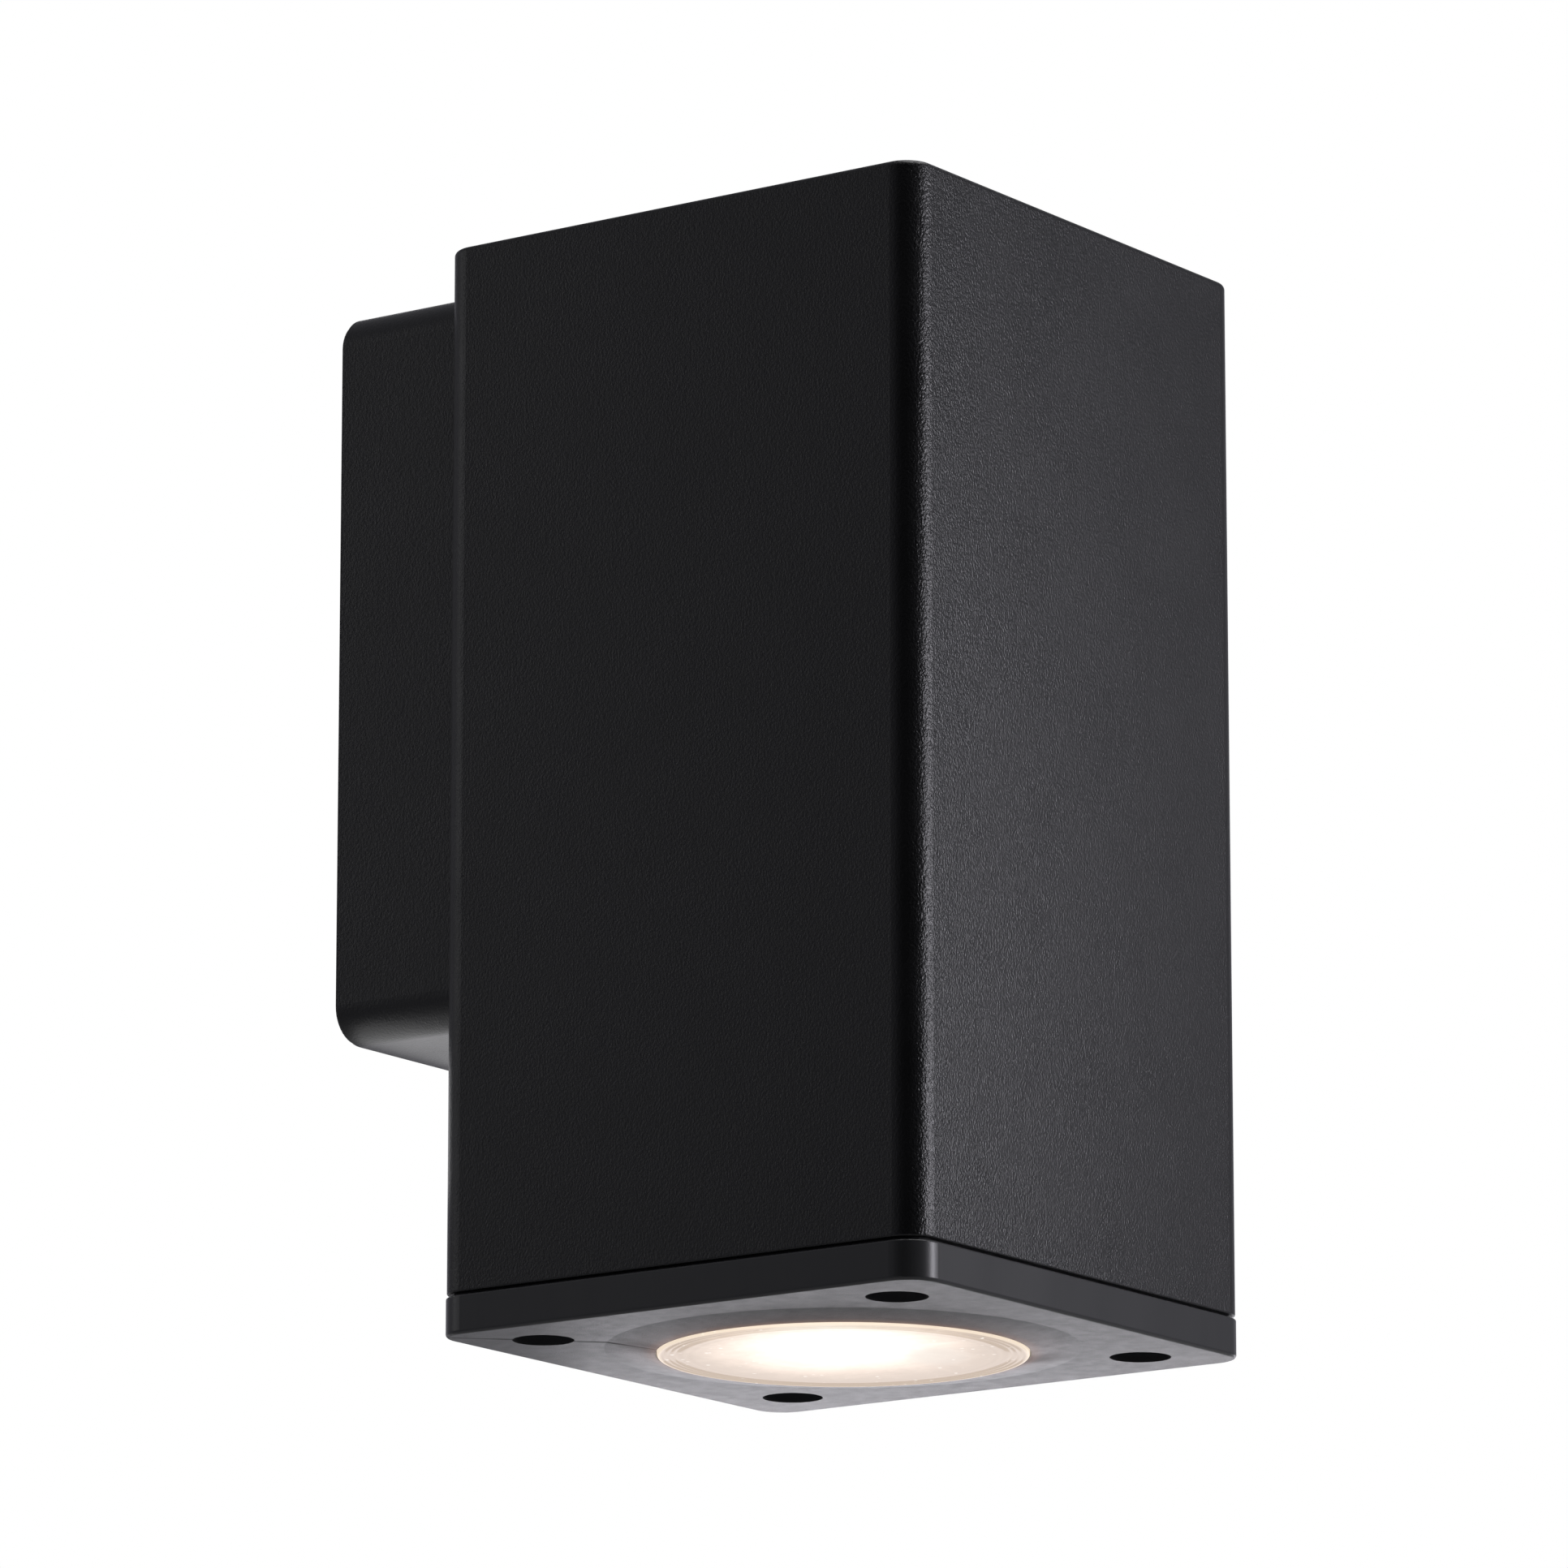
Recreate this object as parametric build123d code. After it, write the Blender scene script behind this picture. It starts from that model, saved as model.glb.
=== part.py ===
from build123d import *
import math
import os

# Outdoor wall lantern: a square die-cast downlight on a shallow wall box.
# Millimetres. The origin is the centre of the mounting plate's back face, on the wall.
# +X is to the right as seen from the front, +Y goes into the wall, +Z is up.

# ---- Driving dimensions: the visible shell ----
BODY_W = 78.0  # housing, side to side
BODY_D = 78.0  # housing, front to back
TOTAL_H = 150.0  # top of the housing to the underside of the bezel
WALL_GAP = 23.4  # back of the housing to the wall
BODY_CORNER = 4.0  # upright corner radius
TOP_EDGE = 0.8  # rounding of the top edge
BASE_Z = -95.25  # underside of the bezel
BEZEL_H = 5.3
BEZEL_PROUD = 0.25  # the bezel stands out past the housing by this much all round
BEZEL_CORNER = 4.6
BEZEL_EDGE = 0.5  # rounding of the bezel's lower edge
SEAM = 0.4  # shadow gap between the bezel and the housing
BOX_W = 63.0
BOX_H = 102.5
BOX_CORNER = 5.0
LENS_PROUD = 1.05
LENS_R = 24.95

# ---- Places that follow from them ----
BACK_Y = -WALL_GAP
FRONT_Y = BACK_Y - BODY_D
AXIS_Y = (BACK_Y + FRONT_Y) / 2  # the upright axis of the lamp and lens
TOP_Z = BASE_Z + TOTAL_H
BEZEL_TOP = BASE_Z + BEZEL_H
RIM_Z = BEZEL_TOP + SEAM  # lower rim of the housing

# ---- Housing ----
WALL = 2.4
ROOF = 3.0
PILLAR = 16.0  # side of the square screw pillars, trimmed by the walls
PILLAR_IN = 24.0  # inner face of a pillar, from the upright axis
PILLAR_H = 30.0
REAR_BOSS_R = 4.2
REAR_BOSS_L = 6.0

# ---- Screws: shank radius, then head radius and height ----
M4 = (2.0, 3.5, 2.4)
M3 = (1.5, 2.8, 2.0)
RUNNING = 0.05  # radial clearance of a screw in its own thread
CORNER_PITCH = 28.65  # bezel screws, from the upright axis in X and in Y
BEZEL_HEAD = (3.8, 2.2)
HEAD_SUNK = 1.2
COUNTERBORE_R = 4.15
BEZEL_SCREW_L = 14.0
JOINT_X, JOINT_Z = 22.0, 38.0  # wall box to housing screws
JOINT_L = 9.9
BRACKET_Z = (-6.0, 6.0)
LOCK_Y = -12.0  # locking screws, top and bottom of the wall box

# ---- Bezel and glass ----
LIP_R = 32.0  # foot of the raised lip round the glass
LIP_LAND = 0.5
LIP_PROUD = 0.75
LENS_CLEAR = 0.2
POCKET_R = 29.0
FLANGE_R = 28.5
FLANGE_T = 4.0
LENS_GASKET_T = 1.0
POCKET_FLOOR = 2.3
RING_BOSS_R = 34.4
GROOVE_OUT, GROOVE_IN, GROOVE_DEEP = 0.9, 2.5, 1.6  # seal groove, in from the housing's outline
RETAINER_T = 1.0
RETAINER_SCREW_R = 31.7

# ---- Lamp, 50 mm across, in a twist-lock holder ----
LAMP_R = 25.0
LAMP_FACE = -82.5
SHOULDER = LAMP_FACE + 47.0
PIN_X = 5.0
PIN_R, PIN_HEAD_R = 1.6, 2.5
HOLDER_R, HOLDER_H = 15.0, 18.0
HOLDER_Z = SHOULDER + 0.3
HOLDER_TOP = HOLDER_Z + HOLDER_H
ENTRY_T = 3.0  # thickness under the holder's slots
TWIST = 25.0  # degrees from locked to released
LEAD_X = 9.0  # lead holes in the holder's top

# ---- Wall box and what it holds ----
BOX_WALL = 2.2
PANEL = 2.4
PANEL_Y = BACK_Y + PANEL  # inner face of the box's front panel
BOX_REAR = -0.6  # rear rim, with the wall gasket behind it
NECK_Z = 30.0
NECK_R = 7.0
LEAD_R = 1.1
LEAD_Y = -15.2  # plane in which the leads run inside the box
LEAD_STEP = 2.6  # leads pass the neck this far above and below its centre
POLES_Z = (-12.0, -22.0, -32.0)
BLOCK = (17.0, 12.8, 30.0)
EARTH_X, EARTH_Z = 14.0, 16.0

# ---- Mounting plate ----
PLATE_W, PLATE_H, PLATE_T = 42.0, 89.0, 1.5
LUG_W, LUG_L = 20.0, 17.0
SLOT_Z, SLOT_L, SLOT_W = 30.0, 12.0, 4.8
ENTRY_R = 10.0
COLLAR_L = 4.5

CORNERS = [(x, AXIS_Y + y) for x in (-CORNER_PITCH, CORNER_PITCH) for y in (-CORNER_PITCH, CORNER_PITCH)]
JOINTS = [(x, z) for x in (-JOINT_X, JOINT_X) for z in (-JOINT_Z, JOINT_Z)]


# ---- Helpers ----
def upright(width, depth, low, high, corner, x=0.0, y=AXIS_Y):
    """A rounded rectangle extruded upwards."""
    return Pos(x, y, low) * extrude(RectangleRounded(width, depth, corner), high - low)


def slab(width, height, rear, thickness, corner, x=0.0, z=0.0):
    """A rounded rectangle parallel to the wall, growing forwards from its rear face."""
    return Pos(x, rear, z) * Rot(90, 0, 0) * extrude(RectangleRounded(width, height, corner), thickness)


def brick(x0, x1, y0, y1, z0, z1):
    """A plain block between two corners."""
    return Pos((x0 + x1) / 2, (y0 + y1) / 2, (z0 + z1) / 2) * Box(x1 - x0, y1 - y0, z1 - z0)


def rod_x(y, z, x0, x1, radius):
    return Pos((x0 + x1) / 2, y, z) * Rot(0, 90, 0) * Cylinder(radius, x1 - x0)


def rod_y(x, z, y0, y1, radius):
    return Pos(x, (y0 + y1) / 2, z) * Rot(90, 0, 0) * Cylinder(radius, y1 - y0)


def rod_z(x, y, z0, z1, radius):
    return Pos(x, y, (z0 + z1) / 2) * Cylinder(radius, z1 - z0)


def turned(*profile):
    """A solid of revolution about the lamp's axis, from (radius, height) points."""
    outline = Plane.XZ * make_face(Polyline(*profile, close=True))
    return Pos(0, AXIS_Y, 0) * revolve(outline, Axis.Z)


def group(solids):
    """Several separate solids in one node."""
    return Compound(children=list(solids))


def pan_screw(size, length):
    """Pan-head screw with a cross recess; its head bears on z = 0 and stands up."""
    shank_r, head_r, head_h = size
    head = Cylinder(head_r, head_h, align=(Align.CENTER, Align.CENTER, Align.MIN))
    head = fillet(head.edges().group_by(Axis.Z)[-1], head_h * 0.4)
    arm, slot, deep = head_r * 1.1, head_r * 0.24, head_h * 0.55
    cross = Box(arm, slot, deep) + Box(slot, arm, deep)
    head -= Pos(0, 0, head_h - deep / 2) * cross
    shank = Cylinder(shank_r, length, align=(Align.CENTER, Align.CENTER, Align.MAX))
    shank = chamfer(shank.edges().group_by(Axis.Z)[0], shank_r * 0.25)
    return head + shank


def socket_screw(shank_r, head, length, across_flats):
    """Button-head socket screw; its head bears on z = 0 and stands up."""
    head_r, head_h = head
    cap = Cylinder(head_r, head_h, align=(Align.CENTER, Align.CENTER, Align.MIN))
    cap = fillet(cap.edges().group_by(Axis.Z)[-1], 1.4)
    socket = extrude(RegularPolygon(across_flats / 2, 6, major_radius=False), 1.3)
    cap -= Pos(0, 0, head_h - 1.3) * socket
    shank = Cylinder(shank_r, length, align=(Align.CENTER, Align.CENTER, Align.MAX))
    shank = chamfer(shank.edges().group_by(Axis.Z)[0], 0.4)
    return cap + shank


HEAD_TO_WALL = Rot(-90, 0, 0)  # the screw's head faces the wall
HEAD_DOWN = Rot(180, 0, 0)


# ---- Outer shell ----
def make_housing():
    outer = upright(BODY_W, BODY_D, RIM_Z, TOP_Z, BODY_CORNER)
    outer = fillet(outer.edges().group_by(Axis.Z)[-1], TOP_EDGE)
    outer = fillet(outer.edges().group_by(Axis.Z)[0], 0.3)
    inner_w, inner_d = BODY_W - 2 * WALL, BODY_D - 2 * WALL
    body = outer - upright(inner_w, inner_d, RIM_Z - 1, TOP_Z - ROOF, BODY_CORNER - WALL)
    core = upright(inner_w + 1, inner_d + 1, RIM_Z, RIM_Z + PILLAR_H, BODY_CORNER - WALL)
    reach = PILLAR_IN + PILLAR / 2
    for sx in (-1, 1):
        for sy in (-1, 1):
            pillar = upright(PILLAR, PILLAR, RIM_Z, RIM_Z + PILLAR_H, 3.0, sx * reach, AXIS_Y + sy * reach)
            body += pillar & core
    inside = BACK_Y - WALL
    for x, z in JOINTS + [(0.0, z) for z in BRACKET_Z]:
        body += rod_y(x, z, inside - REAR_BOSS_L, inside + 0.5, REAR_BOSS_R)
    for x, y in CORNERS:
        body -= rod_z(x, y, RIM_Z - 1, RIM_Z + 20, M4[0] + RUNNING)
    for x, z in JOINTS:
        body -= rod_y(x, z, inside - REAR_BOSS_L - 1, BACK_Y + 1, M4[0] + RUNNING)
    for z in BRACKET_Z:
        body -= rod_y(0, z, inside - REAR_BOSS_L - 1, inside + 0.5, M4[0] + RUNNING)
    return body - rod_y(0, NECK_Z, inside - 1, BACK_Y + 1, NECK_R)


def make_bezel():
    width, depth = BODY_W + 2 * BEZEL_PROUD, BODY_D + 2 * BEZEL_PROUD
    plate = upright(width, depth, BASE_Z, BEZEL_TOP, BEZEL_CORNER)
    plate = fillet(plate.edges().group_by(Axis.Z)[0], BEZEL_EDGE)
    plate = fillet(plate.edges().group_by(Axis.Z)[-1], 0.25)
    seat = BASE_Z + POCKET_FLOOR
    ring_top = seat + LENS_GASKET_T + FLANGE_T
    plate += rod_z(0, AXIS_Y, BEZEL_TOP - 0.5, ring_top, RING_BOSS_R)
    plate -= rod_z(0, AXIS_Y, seat, ring_top + 1, POCKET_R)
    plate -= rod_z(0, AXIS_Y, BASE_Z - 1, seat + 1, LENS_R + LENS_CLEAR)
    bore, crest = LENS_R + LENS_CLEAR, BASE_Z - LIP_PROUD
    plate += turned((bore, crest), (bore + LIP_LAND, crest), (LIP_R, BASE_Z), (LIP_R, BASE_Z + 1), (bore, BASE_Z + 1))
    groove = seal_ring(GROOVE_OUT, GROOVE_IN, BEZEL_TOP - GROOVE_DEEP, BEZEL_TOP + 1)
    plate -= groove
    head_seat = BASE_Z + HEAD_SUNK + BEZEL_HEAD[1]
    for x, y in CORNERS:
        plate -= rod_z(x, y, BASE_Z - 1, head_seat, COUNTERBORE_R)
        plate -= rod_z(x, y, head_seat - 1, BEZEL_TOP + 1, M4[0] + 0.25)
    for x, y in retainer_places():
        plate -= rod_z(x, y, ring_top - 4.5, ring_top + 1, M3[0] + RUNNING)
    return plate


def seal_ring(outer, inner, low, high):
    """A frame that follows the housing's outline, between two distances in from it."""
    rim = upright(BODY_W - 2 * outer, BODY_D - 2 * outer, low, high, BODY_CORNER - outer)
    return rim - upright(BODY_W - 2 * inner, BODY_D - 2 * inner, low - 1, high + 1, BODY_CORNER - inner)


def make_bezel_gasket():
    return seal_ring(GROOVE_OUT + 0.05, GROOVE_IN - 0.05, BEZEL_TOP - GROOVE_DEEP, RIM_Z)


def retainer_places():
    return [
        (RETAINER_SCREW_R * math.cos(math.radians(a)), AXIS_Y + RETAINER_SCREW_R * math.sin(math.radians(a)))
        for a in range(0, 360, 90)
    ]


def make_lens():
    face = BASE_Z - LENS_PROUD
    under = BASE_Z + POCKET_FLOOR + LENS_GASKET_T
    top = under + FLANGE_T
    bevel = 0.3
    return turned(
        (0, face),
        (LENS_R - bevel, face),
        (LENS_R, face + bevel),
        (LENS_R, under),
        (FLANGE_R - 0.3, under),
        (FLANGE_R, under + 0.3),
        (FLANGE_R, top - 0.3),
        (FLANGE_R - 0.3, top),
        (0, top),
    )


def make_lens_gasket():
    low = BASE_Z + POCKET_FLOOR
    ring = rod_z(0, AXIS_Y, low, low + LENS_GASKET_T, POCKET_R - 0.2)
    return ring - rod_z(0, AXIS_Y, low - 1, low + 2, LENS_R + 0.4)


def make_lens_retainer():
    low = BASE_Z + POCKET_FLOOR + LENS_GASKET_T + FLANGE_T
    ring = rod_z(0, AXIS_Y, low, low + RETAINER_T, RING_BOSS_R - 0.4)
    ring -= rod_z(0, AXIS_Y, low - 1, low + 2, FLANGE_R - 2.5)
    for x, y in retainer_places():
        ring -= rod_z(x, y, low - 1, low + 2, M3[0] + 0.2)
    return ring


def make_retainer_screws():
    low = BASE_Z + POCKET_FLOOR + LENS_GASKET_T + FLANGE_T + RETAINER_T
    return group(Pos(x, y, low) * pan_screw((M3[0], 2.4, 1.7), 5.0) for x, y in retainer_places())


def make_bezel_screws():
    seat = BASE_Z + HEAD_SUNK + BEZEL_HEAD[1]
    screw = socket_screw(M4[0], BEZEL_HEAD, BEZEL_SCREW_L, 2.5)
    return group(Pos(x, y, seat) * HEAD_DOWN * screw for x, y in CORNERS)


# ---- Lamp ----
def make_lamp_shell():
    f = LAMP_FACE
    edge = Line((LAMP_R - 0.6, f), (LAMP_R, f + 0.6)) + Line((LAMP_R, f + 0.6), (LAMP_R, f + 5))
    outside = ThreePointArc((LAMP_R, f + 5), (21.6, f + 19), (14.8, f + 34))
    top = Polyline((14.8, f + 34), (13.3, f + 34), (13.3, f + 24), (0, f + 24), (0, f + 21), (19.0, f + 21))
    inside = Polyline((19.0, f + 21), (23.5, f + 5), (23.5, f), (LAMP_R - 0.6, f))
    outline = Plane.XZ * make_face(edge + outside + top + inside)
    shell = revolve(outline, Axis.Z)
    for turn in range(0, 360, 15):
        slot = Pos(23.2, 0, f + 19) * Rot(0, -27, 0) * Box(2.2, 1.6, 17)
        shell -= Rot(0, 0, turn) * slot
    return Pos(0, AXIS_Y, 0) * shell


def make_lamp_base():
    f = LAMP_FACE
    base = turned(
        (10.5, f + 26),
        (13.0, f + 26),
        (13.0, f + 34.2),
        (14.6, f + 34.2),
        (14.6, f + 36),
        (12.2, f + 39),
        (12.2, SHOULDER),
        (0, SHOULDER),
        (0, SHOULDER - 2.5),
        (10.5, SHOULDER - 2.5),
    )
    for side in (-1, 1):
        base -= rod_z(side * PIN_X, AXIS_Y, SHOULDER - 4, SHOULDER + 1, PIN_R)
    return base


def make_lamp_optic():
    f = LAMP_FACE
    return turned((0, f + 1.4), (20.5, f + 0.7), (23.3, f + 0.7), (23.3, f + 3.2), (0, f + 3.2))


def make_led_board():
    return rod_z(0, AXIS_Y, LAMP_FACE + 19.6, LAMP_FACE + 21.0, 17.5)


def make_led_chips():
    ring = [(7.5 * math.cos(math.radians(a)), 7.5 * math.sin(math.radians(a))) for a in range(0, 360, 60)]
    top = LAMP_FACE + 19.6
    return group(Pos(x, AXIS_Y + y, top - 0.4) * Box(3.0, 3.0, 0.8) for x, y in ring + [(0.0, 0.0)])


def make_lamp_driver():
    f = LAMP_FACE
    board = brick(-8.5, 8.5, AXIS_Y - 0.8, AXIS_Y + 0.8, f + 24.5, f + 42)
    capacitor = rod_z(3.5, AXIS_Y + 4.0, f + 28, f + 38, 3.2)
    coil = rod_z(-3.5, AXIS_Y - 4.0, f + 29, f + 36, 3.2)
    return board + capacitor + coil


def make_lamp_pins():
    pins = []
    for side in (-1, 1):
        neck = rod_z(side * PIN_X, AXIS_Y, SHOULDER - 2.5, SHOULDER + 4, PIN_R)
        head = rod_z(side * PIN_X, AXIS_Y, SHOULDER + 3.8, SHOULDER + 7, PIN_HEAD_R)
        pins.append(neck + chamfer(head.edges().group_by(Axis.Z)[-1], 0.4))
    return group(pins)


# ---- Lamp holder ----
def twist_slot(width, low, high):
    """Curved slot about the lamp's axis, from the locked to the released place of one pin."""
    section = Plane.XZ * Pos(PIN_X, (low + high) / 2) * Rectangle(width, high - low)
    slot = Rot(0, 0, -TWIST) * revolve(section, Axis.Z, TWIST)
    for turn in (0, -TWIST):
        slot += Rot(0, 0, turn) * rod_z(PIN_X, 0, low, high, width / 2)
    return slot


def make_lamp_holder():
    body = rod_z(0, 0, HOLDER_Z, HOLDER_TOP, HOLDER_R)
    body = fillet(body.edges().group_by(Axis.Z)[0], 1.0)
    body = fillet(body.edges().group_by(Axis.Z)[-1], 1.0)
    lip = HOLDER_Z + ENTRY_T
    head_w = 2 * PIN_HEAD_R + 0.6
    for half_turn in (0, 180):
        cut = twist_slot(2 * PIN_R + 0.6, HOLDER_Z - 1, lip + 0.5)
        cut += twist_slot(head_w, lip, lip + 6.0)
        cut += Rot(0, 0, -TWIST) * rod_z(PIN_X, 0, HOLDER_Z - 1, lip + 1, head_w / 2)
        cut += brick(2.4, 11.6, -2.6, 2.6, SHOULDER + 7.2, SHOULDER + 9.6)
        cut += rod_z(LEAD_X, 0, SHOULDER + 9, HOLDER_TOP + 1, LEAD_R + 0.15)
        body -= Rot(0, 0, half_turn) * cut
    for y in (-9.0, 9.0):
        body -= rod_z(0, y, HOLDER_TOP - 8.5, HOLDER_TOP + 1, M3[0] + RUNNING)
    return Pos(0, AXIS_Y, 0) * body


def make_holder_contacts():
    low = SHOULDER + 7.2
    blade = brick(2.6, 11.4, -2.4, 2.4, low, low + 1.0)
    return group(Pos(0, AXIS_Y, 0) * Rot(0, 0, turn) * blade for turn in (0, 180))


LEG_Y = BACK_Y - WALL - REAR_BOSS_L  # rear face of the bracket's upright leg
LEG_T = 1.2
LEG_W = 12.0


def make_holder_bracket():
    half = LEG_W / 2
    leg = brick(-half, half, LEG_Y - LEG_T, LEG_Y, HOLDER_TOP, BRACKET_Z[1] + 6)
    arm = brick(-half, half, AXIS_Y - HOLDER_R, LEG_Y, HOLDER_TOP, HOLDER_TOP + LEG_T)
    bracket = leg + arm
    outer_bend = bracket.edges().filter_by(Axis.X).sort_by_distance((0, LEG_Y, HOLDER_TOP))[0]
    bracket = fillet(outer_bend, 1.8)
    corner = (0, LEG_Y - LEG_T, HOLDER_TOP + LEG_T)
    inner_bend = bracket.edges().filter_by(Axis.X).sort_by_distance(corner)[0]
    bracket = fillet(inner_bend, 0.6)
    for z in BRACKET_Z:
        bracket -= rod_y(0, z, LEG_Y - 3, LEG_Y + 1, M4[0] + 0.25)
    for y in (-9.0, 9.0):
        bracket -= rod_z(0, AXIS_Y + y, HOLDER_TOP - 1, HOLDER_TOP + 3, M3[0] + 0.2)
    return bracket


def make_holder_screws():
    seat = HOLDER_TOP + LEG_T
    return group(Pos(0, AXIS_Y + y, seat) * pan_screw(M3, 8.0) for y in (-9.0, 9.0))


def make_bracket_screws():
    return group(Pos(0, LEG_Y - LEG_T, z) * Rot(90, 0, 0) * pan_screw(M4, 6.5) for z in BRACKET_Z)


# ---- Wall box ----
def make_wall_box():
    box = slab(BOX_W, BOX_H, BOX_REAR, BOX_REAR - BACK_Y, BOX_CORNER)
    hollow_w, hollow_h = BOX_W - 2 * BOX_WALL, BOX_H - 2 * BOX_WALL
    box -= slab(hollow_w, hollow_h, BOX_REAR + 1, BOX_REAR + 1 - PANEL_Y, BOX_CORNER - BOX_WALL)
    inner_top = BOX_H / 2 - BOX_WALL
    for side in (-1, 1):
        low, high = sorted((side * (PLATE_H / 2 + 0.5), side * (inner_top + 0.5)))
        box += brick(-5, 5, LOCK_Y - 5, LOCK_Y + 5, low, high)
        low, high = sorted((side * (PLATE_H / 2 - 1), side * (BOX_H / 2 + 1)))
        box -= rod_z(0, LOCK_Y, low, high, M4[0] + RUNNING)
    box += rod_y(EARTH_X, EARTH_Z, PANEL_Y - 0.5, PANEL_Y + 4, 4.0)
    box -= rod_y(EARTH_X, EARTH_Z, PANEL_Y - 1, PANEL_Y + 5, M4[0] + RUNNING)
    box -= joint_ring(0.0, BACK_Y + 1.0)
    for x, z in JOINTS:
        box -= rod_y(x, z, BACK_Y - 1, PANEL_Y + 1, M4[0] + 0.25)
    box -= rod_y(0, fixing_z(), BACK_Y + 0.4, PANEL_Y + 1, M3[0] + RUNNING)
    return box - rod_y(0, NECK_Z, BACK_Y - 1, PANEL_Y + 1, NECK_R)


def joint_ring(slack, rear):
    """Ring in the box's front face; slack takes it in from the walls of its groove."""
    ring = slab(56 - 2 * slack, 93 - 2 * slack, rear, rear - BACK_Y, 3.0)
    return ring - slab(52.4 + 2 * slack, 89.4 + 2 * slack, rear + 1, 4, 1.2)


def make_joint_gasket():
    return joint_ring(0.05, BACK_Y + 1.0)


def make_wall_gasket():
    ring = slab(BOX_W - 0.8, BOX_H - 0.8, 0, -BOX_REAR, BOX_CORNER - 0.4)
    return ring - slab(BOX_W - 4.2, BOX_H - 4.2, 1, 3, BOX_CORNER - 2.1)


def make_joint_screws():
    return group(Pos(x, PANEL_Y, z) * HEAD_TO_WALL * pan_screw(M4, JOINT_L) for x, z in JOINTS)


def make_locking_screws():
    length = 8.0
    screw = Cylinder(M4[0], length, align=(Align.CENTER, Align.CENTER, Align.MAX))
    screw = chamfer(screw.edges().group_by(Axis.Z)[0], 0.9)
    screw = chamfer(screw.edges().group_by(Axis.Z)[-1], 0.25)
    screw -= Pos(0, 0, -2.2) * extrude(RegularPolygon(1.0, 6, major_radius=False), 3)
    sunk = BOX_H / 2 - 0.3
    return group((Pos(0, LOCK_Y, sunk) * screw, Pos(0, LOCK_Y, -sunk) * HEAD_DOWN * screw))


def make_neck_grommet():
    inside = BACK_Y - WALL
    grommet = rod_y(0, NECK_Z, inside, PANEL_Y, NECK_R - 0.2)
    for low, high in ((inside - 1.6, inside), (PANEL_Y, PANEL_Y + 1.6)):
        flange = rod_y(0, NECK_Z, low, high, NECK_R + 2)
        grommet += flange
    for step in (-LEAD_STEP, LEAD_STEP):
        grommet -= rod_y(0, NECK_Z + step, inside - 3, PANEL_Y + 3, LEAD_R + 0.1)
    return grommet


# ---- Terminal block ----
def fixing_z():
    return (POLES_Z[0] + POLES_Z[1]) / 2


def make_terminal_block():
    width, depth, height = BLOCK
    rear = PANEL_Y + depth
    body = slab(width, height, rear, depth, 1.2, 0, POLES_Z[1])
    for z in POLES_Z:
        body -= rod_x(LEAD_Y, z, -width, width, 2.6)
        for x in (-4.0, 4.0):
            body -= rod_y(x, z, LEAD_Y, rear + 1, 1.9)
    for z in ((POLES_Z[0] + POLES_Z[1]) / 2, (POLES_Z[1] + POLES_Z[2]) / 2):
        for side in (-1, 1):
            body -= brick(side * width / 2 - 1.2, side * width / 2 + 1.2, PANEL_Y - 1, rear + 1, z - 0.8, z + 0.8)
    body -= rod_y(0, fixing_z(), PANEL_Y - 1, rear + 1, M3[0] + 0.15)
    return body - rod_y(0, fixing_z(), rear - 2.6, rear + 1, 2.7)


def make_terminal_inserts():
    inserts = []
    for z in POLES_Z:
        tube = rod_x(LEAD_Y, z, -7.0, 7.0, 2.5) - rod_x(LEAD_Y, z, -8.0, 8.0, 1.5)
        for x in (-4.0, 4.0):
            tube -= rod_y(x, z, LEAD_Y, LEAD_Y + 4, 1.45)
        inserts.append(tube)
    return group(inserts)


def make_terminal_screws():
    screws = []
    tip = LEAD_Y + LEAD_R + 0.05
    rear = PANEL_Y + BLOCK[1] - 1.2
    for z in POLES_Z:
        for x in (-4.0, 4.0):
            screw = rod_y(x, z, tip, rear, 1.4)
            screws.append(screw - brick(x - 2, x + 2, rear - 0.8, rear + 1, z - 0.25, z + 0.25))
    return group(screws)


def make_terminal_fixing_screw():
    seat = PANEL_Y + BLOCK[1] - 2.6
    return Pos(0, seat, fixing_z()) * HEAD_TO_WALL * pan_screw((M3[0], 2.5, 1.6), seat - BACK_Y - 0.6)


# ---- Earth connection and leads ----
def make_earth_tag():
    seat = PANEL_Y + 4.0
    ring = rod_y(EARTH_X, EARTH_Z, seat, seat + 0.8, 4.0)
    ring += brick(EARTH_X - 1.6, EARTH_X + 1.6, seat, seat + 0.8, EARTH_Z - 7, EARTH_Z - 3)
    ring += rod_z(EARTH_X, LEAD_Y, EARTH_Z - 11, EARTH_Z - 6, 1.9)
    ring -= rod_z(EARTH_X, LEAD_Y, EARTH_Z - 12, EARTH_Z - 5, LEAD_R + 0.05)
    return ring - rod_y(EARTH_X, EARTH_Z, seat - 1, seat + 2, M4[0] + 0.15)


def make_earth_screw():
    return Pos(EARTH_X, PANEL_Y + 4.8, EARTH_Z) * HEAD_TO_WALL * pan_screw(M4, 5.5)


def lead(points, radii):
    """An insulated lead: straight runs joined by tangent arcs."""
    path = FilletPolyline(*points, radius=radii)
    tube = sweep(Plane(origin=path @ 0, z_dir=path % 0) * Circle(LEAD_R), path=path)
    drift = abs(tube.volume / (math.pi * LEAD_R**2 * path.length) - 1)
    print("lead length", round(path.length, 1), "radii", radii, "volume off by", round(drift, 5))
    return tube


LEAD_END = SHOULDER + 8.2  # upper face of the holder's contacts
CLAMPED_X = 2.5  # leads end here, inside the terminal inserts
SWING_Z = 14.0  # where the leads turn down over the holder


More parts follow.
